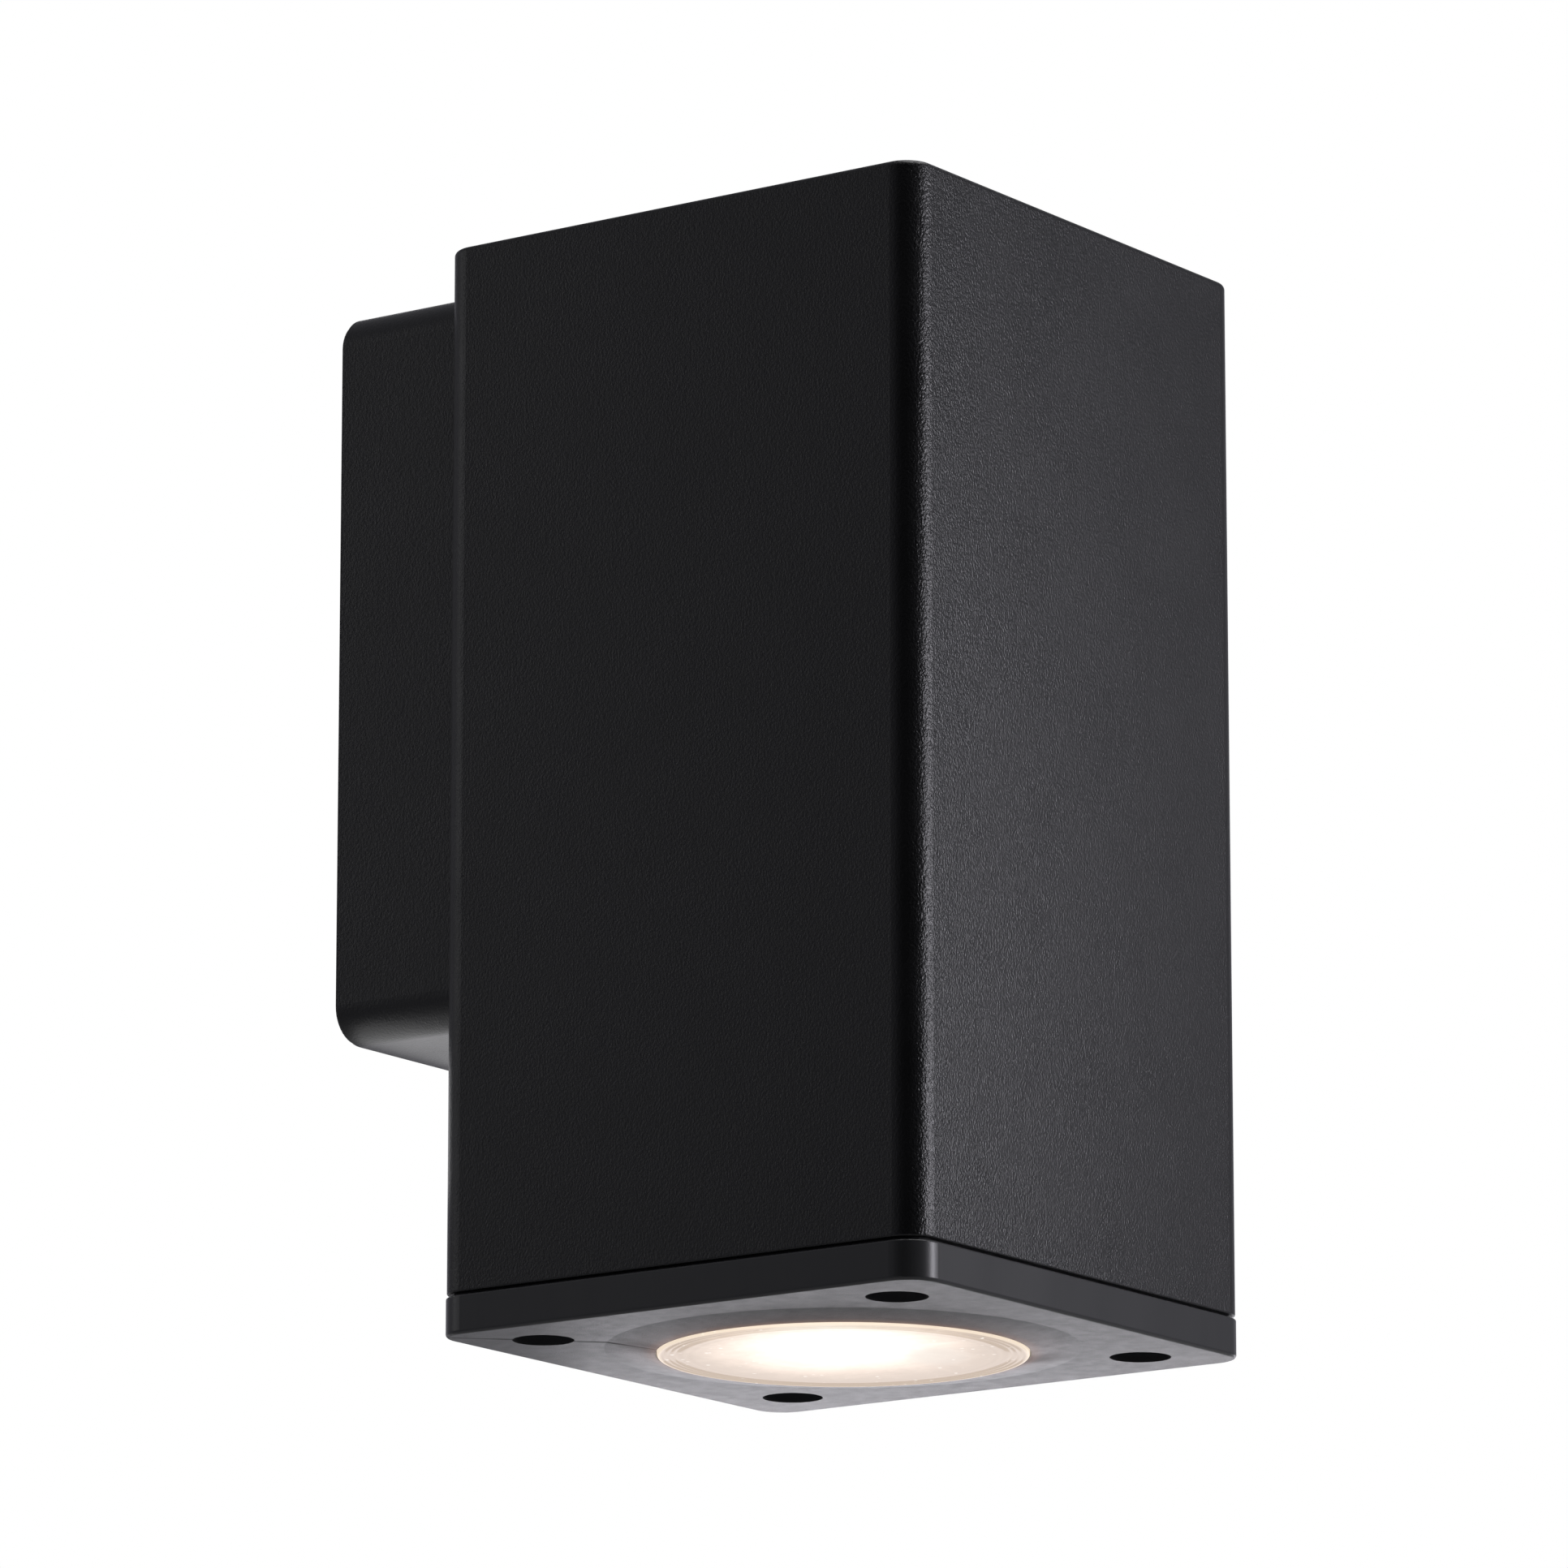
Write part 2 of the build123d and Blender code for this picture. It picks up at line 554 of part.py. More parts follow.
def make_live_lead():
    riser, level = 23.4, NECK_Z + LEAD_STEP
    points = [
        (CLAMPED_X, LEAD_Y, POLES_Z[2]),
        (riser, LEAD_Y, POLES_Z[2]),
        (riser, LEAD_Y, level),
        (0, LEAD_Y, level),
        (0, AXIS_Y + 14, level),
        (-LEAD_X, AXIS_Y, SWING_Z),
        (-LEAD_X, AXIS_Y, LEAD_END),
    ]
    return lead(points, [6.0, 6.0, 5.0, 12.0, 14.0])


def make_neutral_lead():
    riser, level = 19.6, NECK_Z - LEAD_STEP
    points = [
        (CLAMPED_X, LEAD_Y, POLES_Z[1]),
        (riser, LEAD_Y, POLES_Z[1]),
        (riser, LEAD_Y, level),
        (0, LEAD_Y, level),
        (0, AXIS_Y + 16, level),
        (LEAD_X, AXIS_Y, SWING_Z - 4),
        (LEAD_X, AXIS_Y, LEAD_END),
    ]
    return lead(points, [6.0, 6.0, 5.0, 12.0, 14.0])


def make_earth_lead():
    points = [
        (CLAMPED_X, LEAD_Y, POLES_Z[0]),
        (EARTH_X, LEAD_Y, POLES_Z[0]),
        (EARTH_X, LEAD_Y, EARTH_Z - 6.5),
    ]
    return lead(points, [5.0])


# ---- Mounting plate ----
def make_mounting_plate():
    plate = slab(PLATE_W, PLATE_H, 0, PLATE_T, 4.0)
    plate += rod_y(0, 0, -COLLAR_L, -0.1, ENTRY_R + 1.2)
    plate -= rod_y(0, 0, -COLLAR_L - 1, 1, ENTRY_R)
    for side in (-1, 1):
        low, high = sorted((side * (PLATE_H / 2 - PLATE_T), side * PLATE_H / 2))
        lug = brick(-LUG_W / 2, LUG_W / 2, -LUG_L, 0, low, high)
        lug = fillet(lug.edges().filter_by(Axis.Z).group_by(Axis.Y)[0], 2.5)
        low, high = low - 1, high + 1
        lug -= rod_z(0, LOCK_Y, low, high, 2.25) + brick(-2.25, 2.25, -LUG_L - 1, LOCK_Y, low, high)
        plate += lug
        plate -= slab(SLOT_W, SLOT_L, 1, PLATE_T + 2, SLOT_W / 2 - 0.001, 0, side * SLOT_Z)
    return plate


NODES = {
    "housing": make_housing,
    "bezel": make_bezel,
    "bezel_gasket": make_bezel_gasket,
    "bezel_screws": make_bezel_screws,
    "lens": make_lens,
    "lens_gasket": make_lens_gasket,
    "lens_retainer": make_lens_retainer,
    "retainer_screws": make_retainer_screws,
    "lamp_shell": make_lamp_shell,
    "lamp_base": make_lamp_base,
    "lamp_optic": make_lamp_optic,
    "led_board": make_led_board,
    "led_chips": make_led_chips,
    "lamp_driver": make_lamp_driver,
    "lamp_pins": make_lamp_pins,
    "lamp_holder": make_lamp_holder,
    "holder_contacts": make_holder_contacts,
    "holder_bracket": make_holder_bracket,
    "holder_screws": make_holder_screws,
    "bracket_screws": make_bracket_screws,
    "wall_box": make_wall_box,
    "joint_gasket": make_joint_gasket,
    "wall_gasket": make_wall_gasket,
    "joint_screws": make_joint_screws,
    "locking_screws": make_locking_screws,
    "neck_grommet": make_neck_grommet,
    "terminal_block": make_terminal_block,
    "terminal_inserts": make_terminal_inserts,
    "terminal_screws": make_terminal_screws,
    "terminal_fixing_screw": make_terminal_fixing_screw,
    "earth_tag": make_earth_tag,
    "earth_screw": make_earth_screw,
    "live_lead": make_live_lead,
    "neutral_lead": make_neutral_lead,
    "earth_lead": make_earth_lead,
    "mounting_plate": make_mounting_plate,
}

os.makedirs("parts", exist_ok=True)
for name, make in NODES.items():
    export_step(make(), f"parts/{name}.step")
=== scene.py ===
import math

import bmesh
import bpy
from mathutils import Matrix, Vector


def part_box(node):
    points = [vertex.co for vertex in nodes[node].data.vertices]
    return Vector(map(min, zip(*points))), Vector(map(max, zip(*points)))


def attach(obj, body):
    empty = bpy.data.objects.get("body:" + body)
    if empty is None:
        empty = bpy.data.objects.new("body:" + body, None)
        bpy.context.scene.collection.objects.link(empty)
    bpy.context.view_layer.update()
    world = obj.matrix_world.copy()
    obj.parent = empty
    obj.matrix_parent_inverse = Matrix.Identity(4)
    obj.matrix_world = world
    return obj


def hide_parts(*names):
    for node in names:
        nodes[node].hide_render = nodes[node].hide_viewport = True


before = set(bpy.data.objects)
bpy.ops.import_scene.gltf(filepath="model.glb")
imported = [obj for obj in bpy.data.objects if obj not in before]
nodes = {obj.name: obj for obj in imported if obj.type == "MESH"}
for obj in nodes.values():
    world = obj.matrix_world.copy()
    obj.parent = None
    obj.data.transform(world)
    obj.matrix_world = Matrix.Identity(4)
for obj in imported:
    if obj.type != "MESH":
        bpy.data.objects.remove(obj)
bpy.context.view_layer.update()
MM = 0.001
TAU = 2 * math.pi
VIEW_YAW = math.radians(54.563)
VIEW_PITCH = math.radians(12.995)
CAMERA_PLACE = (-1.06137, -0.80796, -0.31707)
CAMERA_LENS = 225.57

# ---- Places, read from the frame ----
bezel_low, bezel_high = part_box("bezel")
lens_low, lens_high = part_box("lens")
housing_low, housing_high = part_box("housing")
AXIS_X = 0.5 * (lens_low.x + lens_high.x)
AXIS_Y = 0.5 * (lens_low.y + lens_high.y)
LIP_PROUD = 0.75 * MM
BASE_Z = bezel_low.z + LIP_PROUD  # flat underside of the bezel, above the lip round the glass
UP = Vector((0, 0, 1))
DOWN = Vector((0, 0, -1))
WALLWARD = Vector((0, 1, 0))


# ---- Procedural finishes ----
class Finish:
    """A node material built around one Principled shader."""

    def __init__(self, name, color, rough, metallic=0.0, **constants):
        self.mat = bpy.data.materials.new(name)
        self.mat.use_nodes = True
        self.tree = self.mat.node_tree
        self.shader = self.tree.nodes["Principled BSDF"]
        self.put("Base Color", color)
        self.put("Roughness", rough)
        self.put("Metallic", metallic)
        for key, value in constants.items():
            self.put(key.replace("_", " "), value)

    def put(self, socket, value):
        """Sets an input of the shader, or of another node, to a constant or to a socket."""
        if isinstance(socket, str):
            socket = self.shader.inputs[socket]
        if isinstance(value, bpy.types.NodeSocket):
            self.tree.links.new(value, socket)
        elif isinstance(value, tuple) and len(value) == 3 and socket.type == "RGBA":
            socket.default_value = (*value, 1.0)
        else:
            socket.default_value = value

    def node(self, kind, **props):
        made = self.tree.nodes.new(kind)
        for key, value in props.items():
            setattr(made, key, value)
        return made

    def place(self, stretch=(1.0, 1.0, 1.0), turn=(0.0, 0.0, 0.0), offset=(0.0, 0.0, 0.0)):
        """Object coordinates, moved to an origin, turned and stretched."""
        source = self.node("ShaderNodeTexCoord").outputs["Object"]
        if offset != (0.0, 0.0, 0.0):
            shift = self.node("ShaderNodeVectorMath", operation="SUBTRACT")
            self.put(shift.inputs[0], source)
            self.put(shift.inputs[1], offset)
            source = shift.outputs[0]
        mapping = self.node("ShaderNodeMapping")
        self.put(mapping.inputs["Vector"], source)
        self.put(mapping.inputs["Rotation"], turn)
        self.put(mapping.inputs["Scale"], stretch)
        return mapping.outputs[0]

    def noise(self, size, detail=2.0, rough=0.5, stretch=(1.0, 1.0, 1.0), twist=0.0, seed=0.0):
        """Noise whose cells are about size millimetres across."""
        made = self.node("ShaderNodeTexNoise", noise_dimensions="4D")
        self.put(made.inputs["Vector"], self.place(stretch))
        self.put(made.inputs["W"], seed)
        self.put(made.inputs["Scale"], 1.0 / (size * MM))
        self.put(made.inputs["Detail"], detail)
        self.put(made.inputs["Roughness"], rough)
        self.put(made.inputs["Distortion"], twist)
        return made.outputs["Fac"]

    def cells(self, size, feature="F1"):
        """Distance from the nearest point, or edge, of cells about size millimetres across."""
        made = self.node("ShaderNodeTexVoronoi", feature=feature)
        self.put(made.inputs["Vector"], self.place())
        self.put(made.inputs["Scale"], 1.0 / (size * MM))
        return made.outputs["Distance"]

    def math(self, operation, a, b=0.0):
        made = self.node("ShaderNodeMath", operation=operation)
        self.put(made.inputs[0], a)
        self.put(made.inputs[1], b)
        return made.outputs[0]

    def plus(self, a, b):
        return self.math("ADD", a, b)

    def less(self, a, b):
        return self.math("SUBTRACT", a, b)

    def times(self, a, b):
        return self.math("MULTIPLY", a, b)

    def squares(self, a, b):
        return self.plus(self.times(a, a), self.times(b, b))

    def distance(self, a, b):
        return self.math("SQRT", self.squares(a, b))

    def span(self, value, low, high, out_low=0.0, out_high=1.0, smooth=False):
        """Value from low to high, mapped to the output range and held there."""
        kind = "SMOOTHSTEP" if smooth else "LINEAR"
        made = self.node("ShaderNodeMapRange", interpolation_type=kind)
        for key, number in (("Value", value), ("From Min", low), ("From Max", high)):
            self.put(made.inputs[key], number)
        self.put(made.inputs["To Min"], out_low)
        self.put(made.inputs["To Max"], out_high)
        return made.outputs[0]

    def ramp(self, value, *stops):
        """Colour ramp through (position, colour) stops."""
        made = self.node("ShaderNodeValToRGB")
        bar = made.color_ramp.elements
        while len(bar) < len(stops):
            bar.new(0.5)
        for element, (position, color) in zip(bar, stops):
            element.position = position
            element.color = (*color, 1.0)
        self.put(made.inputs["Fac"], value)
        return made.outputs["Color"]

    def mix(self, share, a, b):
        """Colour a, going over to colour b as the share goes from 0 to 1."""
        made = self.node("ShaderNodeMix", data_type="RGBA")
        self.put(made.inputs[0], share)
        self.put(made.inputs[6], a)
        self.put(made.inputs[7], b)
        return made.outputs[2]

    def split(self, vector):
        made = self.node("ShaderNodeSeparateXYZ")
        self.put(made.inputs[0], vector)
        return made.outputs

    def facing(self):
        """The surface normal in the object's own axes, as three numbers."""
        turn = self.node("ShaderNodeVectorTransform", vector_type="NORMAL")
        turn.convert_from = "WORLD"
        turn.convert_to = "OBJECT"
        self.put(turn.inputs[0], self.node("ShaderNodeNewGeometry").outputs["True Normal"])
        return self.split(turn.outputs[0])

    def bump(self, height, depth, under=None):
        """Relief of the height socket, depth millimetres deep, over an earlier relief."""
        made = self.node("ShaderNodeBump")
        self.put(made.inputs["Height"], height)
        self.put(made.inputs["Distance"], depth * MM)
        if under is not None:
            self.put(made.inputs["Normal"], under)
        self.put("Normal", made.outputs[0])
        return made.outputs[0]

    def speckle(self, amount, *colors, size=3.0, detail=4.0):
        """Base colour that drifts between colours in soft clouds."""
        drift = self.span(self.noise(size, detail), 0.5 - amount, 0.5 + amount)
        step = 1.0 / (len(colors) - 1)
        self.put("Base Color", self.ramp(drift, *((i * step, c) for i, c in enumerate(colors))))

    def worn(self, rough_low, rough_high, size=6.0):
        """Roughness that drifts, as handling and casting leave it."""
        cloud = self.noise(size, 5.0, 0.6, seed=3.0)
        self.put("Roughness", self.span(cloud, 0.3, 0.7, rough_low, rough_high))


COAT_DARK = (0.0042, 0.0043, 0.0049)
COAT_PALE = (0.0062, 0.0064, 0.0072)


def powder_coat():
    """Black powder coat on housing and wall box; its peel fades across the front from -X."""
    f = Finish("powder_coat", COAT_DARK, 0.42)
    f.speckle(0.2, COAT_DARK, COAT_PALE, size=9.0)
    peel = f.noise(0.31, 1.5, 0.55, (1.0, 1.0, 0.72), twist=0.35)
    grit = f.noise(0.16, 1.0, 0.5, seed=5.0)
    x, _, _ = f.split(f.place())
    front = f.span(f.facing()[1], -0.5, -0.9)
    fade = f.span(x, -38 * MM, 30 * MM, 1.0, 0.45)
    smoother = 0.42  # share of the peel left on every face but the front
    amount = f.plus(smoother, f.times(front, f.less(fade, smoother)))
    satin = f.span(f.noise(14.0, 4.0), 0.3, 0.7, 0.42, 0.48)
    f.put("Roughness", f.less(satin, f.times(amount, 0.12)))
    f.bump(grit, 0.014, under=f.bump(f.times(peel, amount), 0.14))
    return f.mat


def bezel_coat():
    """The same black on the bezel: smooth sides painted paler to read brighter, a sandy face,
    painted shade along a diagonal groove and beside the glass, and painted lamp light round the
    glass.
    """
    f = Finish("powder_coat_bezel", COAT_DARK, 0.40)
    x, y, _ = f.split(f.place(offset=(AXIS_X, AXIS_Y, 0.0)))
    radius = f.distance(x, y)
    under = f.span(f.facing()[2], -0.6, -0.95)
    on_sides = f.less(1.0, under)

    across = f.math("ABSOLUTE", f.plus(x, y))
    waver = f.times(f.less(f.noise(7.0, 3.0), 0.5), 1.2 * MM)
    line = f.span(f.plus(across, waver), 0.1 * MM, 0.9 * MM, 1.0, 0.0, smooth=True)
    # Painted shade: a narrow groove along the diagonal on the -X side, also darkened in colour as if
    # in shade.
    groove_and_shade = f.times(f.times(line, f.span(x, -2 * MM, -6 * MM)), under)
    near_lens = f.span(radius, 25 * MM, 33 * MM, 1.0, 0.0, smooth=True)
    spread = f.span(across, 0.0, 9 * MM, 1.0, 0.0, smooth=True)
    # Painted shade: darker colour along the diagonal next to the glass.
    lens_side_shade = f.times(f.times(near_lens, spread), under)
    shade = f.math("MAXIMUM", f.times(groove_and_shade, 0.75), f.times(lens_side_shade, 0.6))
    cloud = f.span(f.noise(11.0, 4.0, 0.6), 0.3, 0.7)
    # Painted light: the sides take a paler copy of the black, so they read brighter than the same
    # coat underneath.
    coat = f.mix(on_sides, f.mix(cloud, COAT_DARK, COAT_PALE), (0.034, 0.0345, 0.036))
    # Painted shade in the base colour: darker along the groove and beside the glass.
    f.put("Base Color", f.mix(shade, coat, (0.002, 0.002, 0.0022)))

    # Painted light, not a lamp: emission puts the glass's warm light on the metal in a narrow band
    # at its edge, with a paler painted highlight in a wider band round it.
    painted_edge_light = f.times(f.span(radius, 25.3 * MM, 27.2 * MM, 1.0, 0.0, smooth=True), under)
    painted_lamp_light = f.mix(painted_edge_light, (0.0, 0.0, 0.0), (0.13, 0.062, 0.034))
    lip = f.times(f.span(radius, 26 * MM, 32 * MM, 1.0, 0.0, smooth=True), under)
    f.put("Emission Color", f.mix(f.times(lip, 0.5), painted_lamp_light, (0.075, 0.052, 0.05)))
    f.put("Emission Strength", 1.0)

    smooth_side = f.span(f.noise(5.0, 4.0, 0.6, (1.0, 1.0, 0.15)), 0.3, 0.7, 0.30, 0.36)
    sandy = f.span(f.noise(2.2, 4.0, 0.65), 0.3, 0.7, 0.40, 0.48)
    rough = f.plus(f.times(f.less(sandy, smooth_side), under), smooth_side)
    f.put("Roughness", f.plus(rough, f.times(shade, 0.25)))
    streaks = f.noise(0.5, 2.0, 0.5, (1.0, 1.0, 0.06))
    sides = f.bump(f.times(streaks, on_sides), 0.006)
    sand = f.times(f.noise(0.22, 2.0, 0.7, seed=2.0), under)
    f.bump(sand, 0.035, under=f.bump(f.times(groove_and_shade, -1.0), 0.04, under=sides))
    return f.mat


def black_oxide():
    """Black-oxide screws, with an uneven, slightly oily gloss."""
    f = Finish("black_oxide", (0.008, 0.008, 0.009), 0.3, Specular_IOR_Level=0.6)
    f.speckle(0.2, (0.006, 0.006, 0.007), (0.014, 0.014, 0.015), size=1.2)
    f.worn(0.22, 0.4, size=1.0)
    f.bump(f.noise(0.12, 2.0), 0.004)
    return f.mat


def zinc_plate(name, low, high, spangle=2.5):
    """Bright zinc plating: small crystals, passivation clouds and fine rolling marks."""
    f = Finish(name, high, 0.32, 1.0)
    crystals = f.cells(spangle)
    cloud = f.noise(6.0, 5.0, 0.6)
    blend = f.plus(f.times(crystals, 0.4), f.times(cloud, 0.7))
    f.put("Base Color", f.ramp(blend, (0.25, low), (0.75, high)))
    f.put("Roughness", f.span(f.noise(1.4, 5.0, 0.65), 0.3, 0.7, 0.24, 0.42))
    f.bump(f.noise(0.25, 3.0, 0.6, (1.0, 1.0, 0.2)), 0.004)
    return f.mat


def polished(name, dark, light, rough=(0.18, 0.34)):
    """Turned or stamped metal with fine tool marks and a little tarnish."""
    f = Finish(name, light, 0.25, 1.0)
    f.speckle(0.25, dark, light, size=1.8, detail=6.0)
    f.worn(*rough, size=0.8)
    f.bump(f.noise(0.15, 2.0, 0.5, (1.0, 1.0, 0.3)), 0.004)
    return f.mat


def rubber(name, color, paler, pores=0.35, depth=0.02):
    """Soft seal: matt, slightly dusty and finely pored."""
    f = Finish(name, color, 0.62, Sheen_Weight=0.15, Sheen_Roughness=0.5)
    f.speckle(0.22, color, paler, size=2.5)
    f.worn(0.55, 0.75, size=3.0)
    f.bump(f.cells(pores), depth)
    return f.mat


def moulded(name, color, paler, rough=(0.32, 0.45)):
    """Injection-moulded plastic with a light spark-eroded grain."""
    f = Finish(name, color, 0.4)
    f.speckle(0.25, color, paler, size=7.0)
    f.worn(*rough, size=4.0)
    f.bump(f.noise(0.3, 3.0, 0.6), 0.008)
    return f.mat


def glazed():
    """Glazed porcelain: off-white body, a wavy gloss and a few iron specks."""
    f = Finish("porcelain_glaze", (0.82, 0.8, 0.74), 0.12, Coat_Weight=0.6, Coat_Roughness=0.05)
    specks = f.span(f.cells(1.6), 0.04, 0.07, 1.0, 0.0)
    body = f.mix(f.span(f.noise(5.0, 3.0), 0.35, 0.65), (0.86, 0.84, 0.78), (0.76, 0.73, 0.66))
    f.put("Base Color", f.mix(specks, body, (0.32, 0.22, 0.14)))
    f.worn(0.07, 0.2, size=5.0)
    f.bump(f.noise(2.0, 1.0), 0.03)
    return f.mat


def circuit_board():
    """White solder mask over copper: faint tracks under the lacquer."""
    f = Finish("led_board_mask", (0.75, 0.76, 0.74), 0.35)
    tracks = f.span(f.cells(4.5, "DISTANCE_TO_EDGE"), 0.03, 0.06, 1.0, 0.0)
    f.put("Base Color", f.mix(tracks, (0.78, 0.79, 0.77), (0.55, 0.6, 0.53)))
    f.worn(0.25, 0.4, size=3.0)
    f.bump(tracks, 0.03, under=f.bump(f.noise(0.2, 2.0), 0.004))
    return f.mat


def lit_phosphor():
    """Yellow phosphor over the light-emitting chips, its colour and light varying with a fine grain.
    """
    f = Finish("phosphor_lit", (0.95, 0.75, 0.28), 0.5, Emission_Strength=6.0)
    grain = f.span(f.noise(0.2, 3.0), 0.3, 0.7)
    f.put("Base Color", f.mix(grain, (0.95, 0.7, 0.2), (0.98, 0.82, 0.36)))
    f.put("Emission Color", f.mix(grain, (1.0, 0.78, 0.45), (1.0, 0.86, 0.6)))
    f.bump(grain, 0.02)
    return f.mat


def lit_optic():
    """Moulded acrylic lens plate of the lamp, with the chips' light through its seven lenslets
    painted on as emission.
    """
    f = Finish("optic_lit", (0.9, 0.88, 0.84), 0.16, Emission_Strength=1.5, Coat_Weight=0.5)
    x, y, _ = f.split(f.place(offset=(AXIS_X, AXIS_Y, 0.0)))
    # Painted light: the plate is no emitter; its emission, brightest in the middle, stands for the
    # chips' light through it.
    painted_lamp_light = f.span(f.distance(x, y), 3 * MM, 22 * MM, 1.0, 0.35, smooth=True)
    veil = f.times(painted_lamp_light, f.span(f.noise(2.5, 3.0), 0.3, 0.7, 0.8, 1.0))
    f.put("Emission Color", f.ramp(veil, (0.0, (0.3, 0.2, 0.12)), (1.0, (1.0, 0.86, 0.66))))
    f.worn(0.1, 0.25, size=2.0)
    f.bump(f.noise(0.6, 2.0), 0.01)
    return f.mat


def lit_glass():
    """Toughened pressed glass, with the lamp's light through it painted on as emission: a bright
    middle, a painted highlight on its creamy rim, small bubbles and swirls.
    """
    f = Finish(
        "lens_glass_lit", (0.09, 0.085, 0.08), 0.12,
        Specular_IOR_Level=0.0, Coat_Weight=0.13, Coat_Roughness=0.06, Emission_Strength=1.5,
    )
    u, v, _ = f.split(f.place(turn=(0.0, 0.0, VIEW_YAW), offset=(AXIS_X, AXIS_Y, 0.0)))
    radius = f.distance(u, v)
    swirl = f.times(f.less(f.noise(7.0, 5.0, 0.65, twist=1.2), 0.5), 0.55)

    def oval(middle_u, middle_v, half_u, half_v):
        """Place in an oval on the glass, in millimetres, as a share of its half axes."""
        return tuple(
            f.math("DIVIDE", f.less(along, middle * MM), half * MM)
            for along, middle, half in ((u, middle_u, half_u), (v, middle_v, half_v))
        )

    # Painted light: the glass is no lamp, and this emission stands for the lamp's light through it,
    # brightest in an oval off the middle.
    away = f.distance(*oval(-1.0, -7.0, 15.0, 19.0))
    painted_brightness = f.span(f.plus(away, swirl), 0.45, 1.45, 1.0, 0.0, smooth=True)
    body = f.ramp(
        painted_brightness,
        (0.0, (0.40, 0.325, 0.265)),
        (0.3, (0.53, 0.435, 0.36)),
        (0.6, (0.61, 0.535, 0.45)),
        (0.85, (0.65, 0.61, 0.54)),
        (1.0, (0.78, 0.76, 0.71)),
    )
    # Painted shade: a dimmer area on one side of the painted light.
    painted_dim_area = f.plus(f.squares(*oval(12.6, 0.0, 4.2, 7.5)), swirl)
    painted_dim_area = f.span(painted_dim_area, 0.1, 1.6, 1.0, 0.0, smooth=True)
    body = f.mix(f.times(painted_dim_area, 0.6), body, (0.46, 0.41, 0.36))

    rings = f.node("ShaderNodeTexWave", wave_type="RINGS", rings_direction="Z")
    f.put(rings.inputs["Vector"], f.place(offset=(AXIS_X, AXIS_Y, 0.0)))
    f.put(rings.inputs["Scale"], 1.0 / (4.2 * MM))
    f.put(rings.inputs["Distortion"], 0.4)
    # Painted reflection: faint darker rings inside the edge, standing for reflections of the glass's
    # stepped edge.
    painted_ring_lines = f.times(rings.outputs["Fac"], f.span(radius, 19 * MM, 21 * MM))
    body = f.mix(f.times(painted_ring_lines, 0.16), body, (0.27, 0.20, 0.155))

    # Painted glints: small bright specks in the painted light, in clouds between 8 and 15 mm from
    # the middle.
    seed_glints = f.span(f.cells(1.7), 0.10, 0.22, 1.0, 0.0)
    seed_glints = f.times(seed_glints, f.span(f.noise(4.0, 2.0, seed=8.0), 0.46, 0.62))
    seed_glints = f.times(seed_glints, f.span(radius, 8 * MM, 15 * MM))
    body = f.mix(f.times(seed_glints, 0.8), body, (0.74, 0.71, 0.66))
    # Painted highlight: a pale line on the bevel at the glass's edge.
    rim = f.span(radius, 24.3 * MM, 24.8 * MM)
    f.put("Emission Color", f.mix(f.times(rim, 0.6), body, (0.74, 0.63, 0.5)))
    f.put("Roughness", f.span(f.noise(3.0, 3.0), 0.3, 0.7, 0.06, 0.16))
    f.bump(f.noise(3.5, 2.0), 0.02)
    return f.mat


def striped_lead():
    """Green and yellow earth insulation, striped along its length."""
    f = Finish("lead_green_yellow", (0.5, 0.5, 0.05), 0.45)
    normal = f.facing()
    side = f.plus(f.times(normal[0], 0.8), f.times(normal[1], 0.6))
    stripe = f.span(f.math("ABSOLUTE", side), 0.48, 0.54)
    cloud = f.span(f.noise(3.0, 3.0), 0.3, 0.7)
    green = f.mix(cloud, (0.02, 0.2, 0.04), (0.03, 0.27, 0.06))
    yellow = f.mix(cloud, (0.72, 0.55, 0.03), (0.8, 0.63, 0.05))
    f.put("Base Color", f.mix(stripe, green, yellow))
    f.worn(0.38, 0.55, size=2.0)
    f.bump(f.noise(0.3, 2.0), 0.01)
    return f.mat


SHELL = powder_coat()
ZINC = zinc_plate("zinc_plate", (0.42, 0.42, 0.43), (0.68, 0.68, 0.67))
SHEET = zinc_plate("zinc_sheet", (0.40, 0.41, 0.42), (0.66, 0.66, 0.66), spangle=4.5)
FINISHES = {
    "housing": SHELL,
    "wall_box": SHELL,
    "bezel": bezel_coat(),
    "bezel_screws": black_oxide(),
    "locking_screws": black_oxide(),
    "mounting_plate": SHEET,
    "holder_bracket": SHEET,
    "lens_retainer": SHEET,
    "lens": lit_glass(),
    "wall_gasket": rubber("foam_seal", (0.022, 0.022, 0.024), (0.045, 0.045, 0.047), 0.5, 0.12),
    "lamp_shell": moulded("lamp_shell", (0.66, 0.66, 0.67), (0.76, 0.76, 0.76), (0.35, 0.5)),
    "lamp_base": moulded("lamp_base", (0.72, 0.72, 0.7), (0.8, 0.8, 0.78)),
    "lamp_optic": lit_optic(),
    "led_board": circuit_board(),
    "led_chips": lit_phosphor(),
    "lamp_driver": moulded("driver_board", (0.02, 0.12, 0.05), (0.04, 0.17, 0.08), (0.25, 0.45)),
    "lamp_pins": polished("pin_nickel", (0.5, 0.48, 0.44), (0.74, 0.71, 0.66)),
    "lamp_holder": glazed(),
    "earth_tag": polished("tinned_copper", (0.62, 0.6, 0.56), (0.8, 0.78, 0.74)),
    "terminal_block": moulded("terminal_nylon", (0.62, 0.62, 0.58), (0.74, 0.73, 0.69), (0.4, 0.55)),
    "live_lead": moulded("lead_brown", (0.13, 0.045, 0.018), (0.18, 0.065, 0.028), (0.35, 0.5)),
    "neutral_lead": moulded("lead_blue", (0.015, 0.09, 0.36), (0.025, 0.13, 0.45), (0.35, 0.5)),
    "earth_lead": striped_lead(),
}
